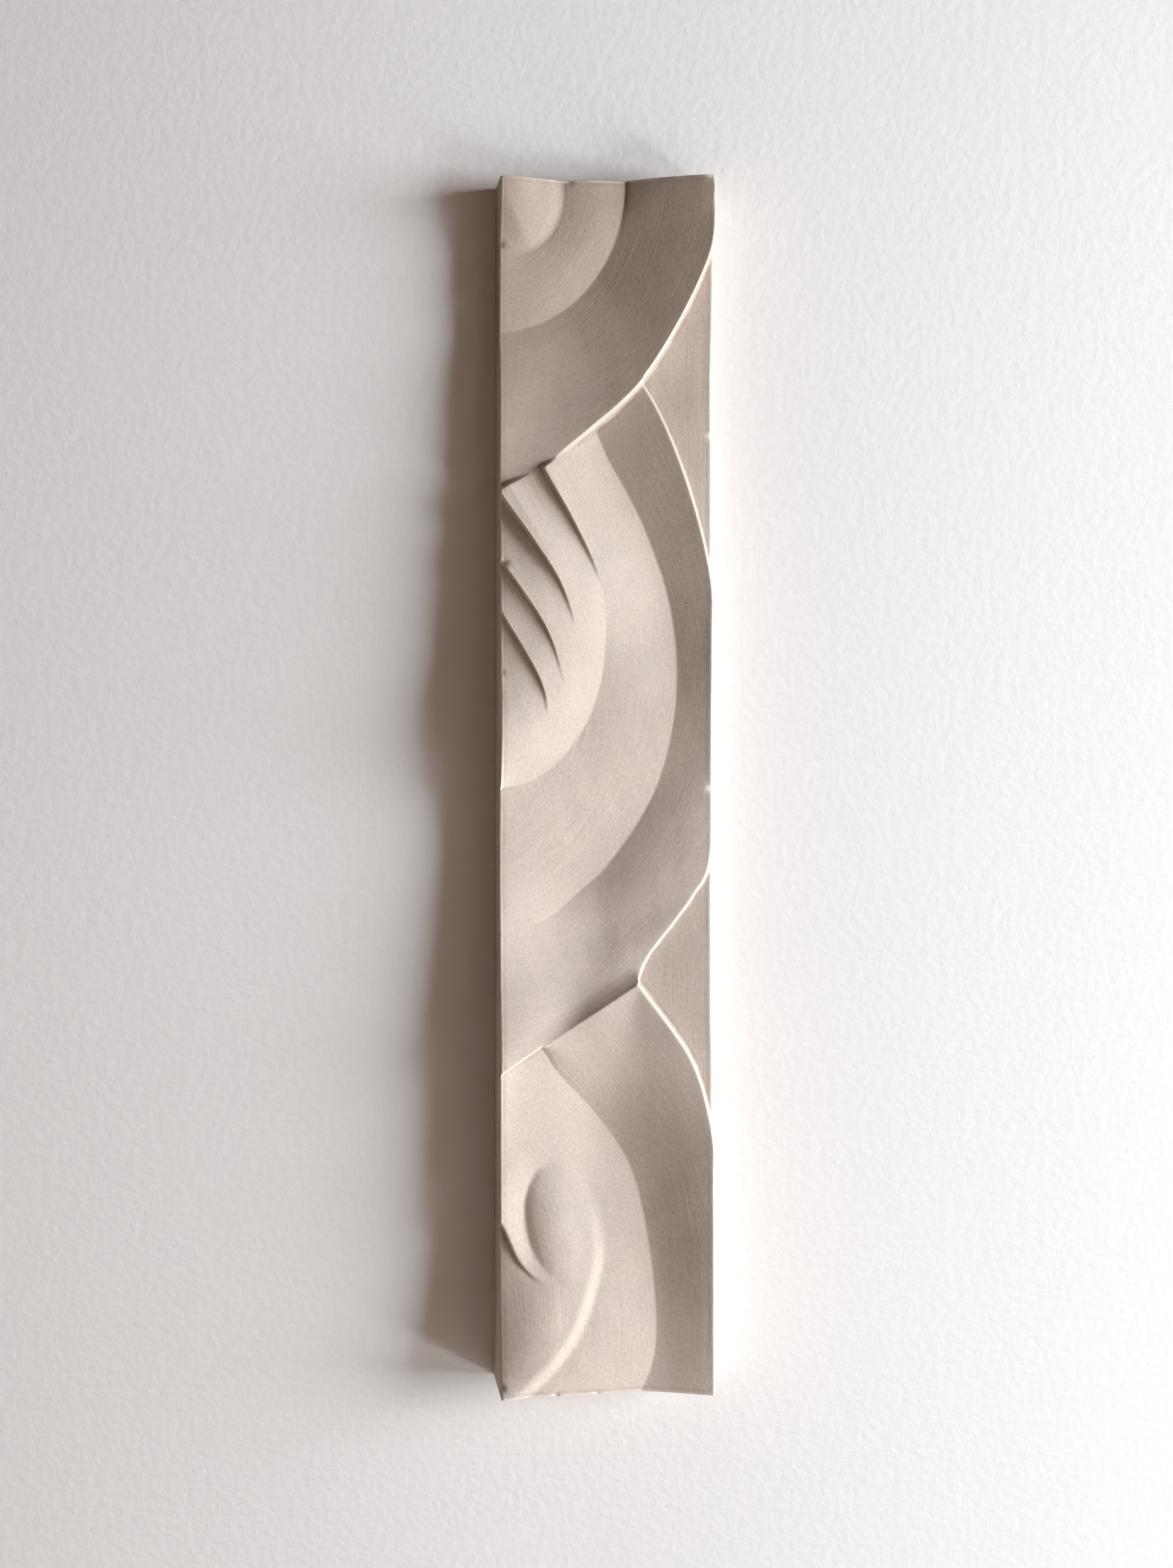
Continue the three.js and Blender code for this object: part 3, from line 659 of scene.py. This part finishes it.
tree.links.new(chooser.outputs[0], tree.nodes["Material Output"].inputs["Surface"])
wall_mesh.materials.append(wall_paint)

# The floor is plain and pale, well below the panel. It runs on behind the wall, so that views of the back
# have it too.
floor_mesh = bpy.data.meshes.new("floor")
floor_mesh.from_pydata([(x, y, FLOOR_LEVEL) for x, y in corners(-4, 4, -5, 3)], [], [(0, 1, 2, 3)])
floor = bpy.data.objects.new("floor", floor_mesh)
bpy.context.scene.collection.objects.link(floor)
floor_paint = bpy.data.materials.new("floor_paint")
floor_paint.use_nodes = True
paint = floor_paint.node_tree.nodes["Principled BSDF"]
paint.inputs["Base Color"].default_value = (0.74, 0.67, 0.6, 1)
paint.inputs["Roughness"].default_value = 0.9
floor_mesh.materials.append(floor_paint)

# Soft light rakes along the wall from two large soft boxes on the right, the lower one from below the panel's
# middle. A much weaker warm one stands further out from the wall, one lights the back, and the room gives a
# weak warm fill.
def soft_light(name, azimuth, elevation, distance, wide, tall, power, colour):
    """A soft box that faces the panel: azimuth turns up from the right within the wall's plane."""
    turn, lift = math.radians(azimuth), math.radians(elevation)
    away = Vector((math.cos(turn) * math.cos(lift), -math.sin(lift), math.sin(turn) * math.cos(lift)))
    data = bpy.data.lights.new(name, "AREA")
    data.shape = "RECTANGLE"
    data.size, data.size_y = wide, tall
    data.energy = power
    data.color = colour
    light = bpy.data.objects.new(name, data)
    light.location = away * distance
    tangent = Vector((-math.sin(turn), 0, math.cos(turn)))
    rise = away.cross(tangent)
    light.rotation_euler = Matrix((tangent, rise, away)).transposed().to_euler()
    bpy.context.scene.collection.objects.link(light)


soft_light("right_box", 2, 22, 2.4, 1.1, 1.6, 114, (0.79, 0.9, 1))
soft_light("low_box", -42, 22, 2.4, 0.9, 1.5, 88, (0.79, 0.9, 1))
soft_light("front_box", 5, 62, 2.4, 0.5, 0.5, 1.6, (1, 0.55, 0.25))
soft_light("back_box", 20, -50, 2.2, 1.2, 1.2, 25, (1, 0.98, 0.95))
world = bpy.data.worlds.new("room")
world.use_nodes = True
room = world.node_tree.nodes["Background"]
room.inputs["Color"].default_value = (1, 0.5, 0.2, 1)
room.inputs["Strength"].default_value = 0.06
bpy.context.scene.world = world
bpy.context.scene.view_settings.view_transform = "Standard"

# The camera looks straight at the wall from a little to the left and above the panel's middle. What it faces
# squarely lies off the picture's middle, so its lens is shifted. Both places are in the picture's own pixels.
LONG_SIDE = 2212
PICTURE_MIDDLE = (827.5, 1106)
FACED_SQUARELY = (413.7, 990)
FOCAL_LENGTH = 2557
SENSOR = 36
ROLL = -0.0018
camera_data = bpy.data.cameras.new("camera")
camera = bpy.data.objects.new("camera", camera_data)
bpy.context.scene.collection.objects.link(camera)
camera_data.sensor_width = SENSOR
camera_data.lens = SENSOR * FOCAL_LENGTH / LONG_SIDE
camera_data.shift_x = (PICTURE_MIDDLE[0] - FACED_SQUARELY[0]) / LONG_SIDE
camera_data.shift_y = -(PICTURE_MIDDLE[1] - FACED_SQUARELY[1]) / LONG_SIDE
camera.location = (-0.147, -0.872, 0.038)
camera.rotation_euler = (math.radians(90), ROLL, 0)
bpy.context.scene.camera = camera
